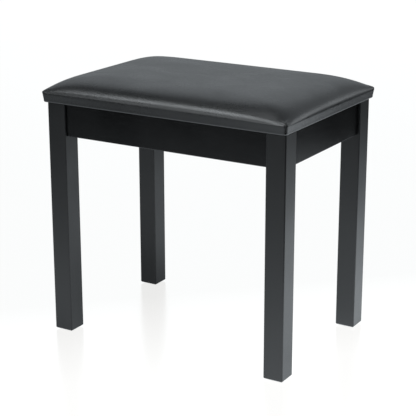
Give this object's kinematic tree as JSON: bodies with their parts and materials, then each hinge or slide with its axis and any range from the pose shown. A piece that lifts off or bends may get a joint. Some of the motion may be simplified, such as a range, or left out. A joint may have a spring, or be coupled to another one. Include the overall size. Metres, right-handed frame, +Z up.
{
  "type": "piano bench",
  "caption": "Satin black wooden piano bench with square legs, set-back rails and a padded vinyl seat that lifts on rear hinges to open a shallow music compartment.",
  "frame": {"origin": "on the floor under the middle of the bench, at the bottom centre of its bounding box", "axes": "+X along the long side towards the right as seen from the front, +Y towards the hinged rear side, +Z up"},
  "size_m": [0.503, 0.35, 0.491],
  "materials": {
    "black_wood": "satin",
    "floor_board": "matte",
    "plywood": "matte",
    "foam": "matte",
    "black_vinyl": "satin",
    "dust_cloth": "matte",
    "zinc_steel": "satin",
    "hinge_steel": "satin",
    "bumper_rubber": "matte",
    "glide_plastic": "matte"
  },
  "bodies": {
    "frame": {"leg_front_left": "black_wood", "leg_front_right": "black_wood", "leg_rear_left": "black_wood", "leg_rear_right": "black_wood", "front_rail": "black_wood", "rear_rail": "black_wood", "left_rail": "black_wood", "right_rail": "black_wood", "compartment_floor": "floor_board", "corner_plate_front_left": "zinc_steel", "corner_plate_front_right": "zinc_steel", "corner_plate_rear_left": "zinc_steel", "corner_plate_rear_right": "zinc_steel", "corner_plate_screws": "zinc_steel", "hanger_bolts": "zinc_steel", "flat_washers": "zinc_steel", "spring_washers": "zinc_steel", "hex_nuts": "zinc_steel", "foot_glides": "glide_plastic", "glide_nails": "zinc_steel", "lid_bumpers": "bumper_rubber", "left_hinge_frame_leaf": "hinge_steel", "left_hinge_pin": "hinge_steel", "right_hinge_frame_leaf": "hinge_steel", "right_hinge_pin": "hinge_steel", "hinge_frame_screws": "hinge_steel"},
    "lid": {"left_hinge_lid_leaf": "hinge_steel", "right_hinge_lid_leaf": "hinge_steel", "hinge_lid_screws": "hinge_steel", "seat_board": "plywood", "seat_foam": "foam", "seat_cover": "black_vinyl", "dust_cover": "dust_cloth", "cover_staples": "zinc_steel"}
  },
  "joints": [
    {"name": "lid_hinge", "type": "hinge", "parent": "frame", "child": "lid", "pos_m": [0, 0.1627, 0.44215], "axis": [-1, 0, 0], "range_deg": [0, 97]}
  ]
}
